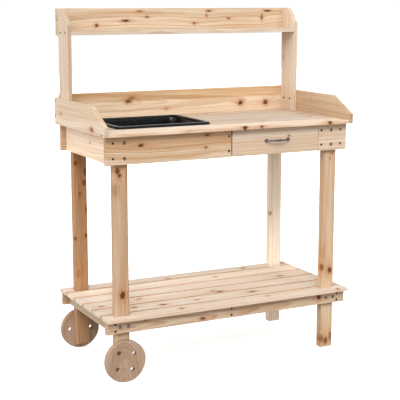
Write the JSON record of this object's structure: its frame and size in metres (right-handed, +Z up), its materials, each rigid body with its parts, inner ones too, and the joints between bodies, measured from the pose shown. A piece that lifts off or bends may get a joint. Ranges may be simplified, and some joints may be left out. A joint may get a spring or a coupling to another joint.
{
  "type": "potting bench",
  "caption": "Free-standing timber work bench on legs and disc wheels, with a boarded top, lift-out plastic basin, shallow drawer, slatted lower shelf and raised rear shelf.",
  "frame": {"origin": "on the floor, under the middle of the bench's overall box", "axes": "+X to the right as seen by the user standing at the drawer, +Y to the back (towards the raised shelf), +Z up"},
  "size_m": [0.92, 0.45, 1.19],
  "materials": {
    "leg_timber": "sanded, bare",
    "apron_timber": "sanded, bare",
    "drawer_timber": "sanded, bare",
    "plywood": "smooth",
    "inner_timber": "sawn",
    "top_timber": "sanded, bare",
    "rail_timber": "sanded, bare",
    "slat_timber": "sanded, bare",
    "wheel_timber": "turned, bare",
    "plug_timber": "turned, bare",
    "dark_steel": "black phosphate",
    "zinc_steel": "zinc plated",
    "sink_plastic": "gloss",
    "handle_chrome": "polished"
  },
  "bodies": {
    "frame": {"leg_front_left": "leg_timber", "leg_front_right": "leg_timber", "leg_rear_left": "leg_timber", "leg_rear_right": "leg_timber", "apron_front_left": "apron_timber", "apron_front_right": "apron_timber", "apron_rear": "apron_timber", "apron_side_left": "apron_timber", "apron_side_right": "apron_timber", "divider_left": "inner_timber", "divider_right": "inner_timber", "drawer_runner_left": "inner_timber", "drawer_runner_right": "inner_timber", "drawer_stop": "inner_timber", "worktop_board_1": "top_timber", "worktop_board_2": "top_timber", "worktop_board_3": "top_timber", "worktop_board_4": "top_timber", "worktop_board_5": "top_timber", "worktop_stubs": "top_timber", "worktop_batten": "inner_timber", "side_board_left": "apron_timber", "side_board_right": "apron_timber", "splash_back": "apron_timber", "post_left": "apron_timber", "post_right": "apron_timber", "hutch_shelf": "top_timber", "hutch_back": "apron_timber", "rail_front": "rail_timber", "rail_rear": "rail_timber", "rail_left": "rail_timber", "rail_right": "rail_timber", "cross_rail": "inner_timber", "slat_1": "slat_timber", "slat_2": "slat_timber", "slat_3": "slat_timber", "slat_4": "slat_timber", "slat_5": "slat_timber", "slat_6": "slat_timber", "frame_screws": "dark_steel", "side_board_screws": "dark_steel", "hutch_screws": "dark_steel", "leg_bolts": "zinc_steel", "leg_bolt_nuts": "zinc_steel", "board_brads": "zinc_steel", "axle_screws": "zinc_steel", "axle_washers": "zinc_steel"},
    "drawer": {"drawer_front": "drawer_timber", "drawer_side_left": "drawer_timber", "drawer_side_right": "drawer_timber", "drawer_back": "drawer_timber", "drawer_bottom": "plywood", "drawer_handle": "handle_chrome", "handle_screws": "zinc_steel"},
    "sink": {"sink_basin": "sink_plastic"},
    "wheel_front": {"wheel_front": "wheel_timber", "wheel_plug_front": "plug_timber"},
    "wheel_rear": {"wheel_rear": "wheel_timber", "wheel_plug_rear": "plug_timber"}
  },
  "joints": [
    {"name": "drawer_slide", "type": "slide", "parent": "frame", "child": "drawer", "axis": [0, -1, 0], "range_m": [0, 0.25]},
    {"name": "sink_lift", "type": "slide", "parent": "frame", "child": "sink", "axis": [0, 0, 1], "range_m": [0, 0.15]},
    {"name": "wheel_front_spin", "type": "hinge", "parent": "frame", "child": "wheel_front", "pos_m": [-0.39, -0.1998, 0.07], "axis": [0, 1, 0], "continuous": true},
    {"name": "wheel_rear_spin", "type": "hinge", "parent": "frame", "child": "wheel_rear", "pos_m": [-0.39, 0.2098, 0.07], "axis": [0, 1, 0], "continuous": true}
  ]
}
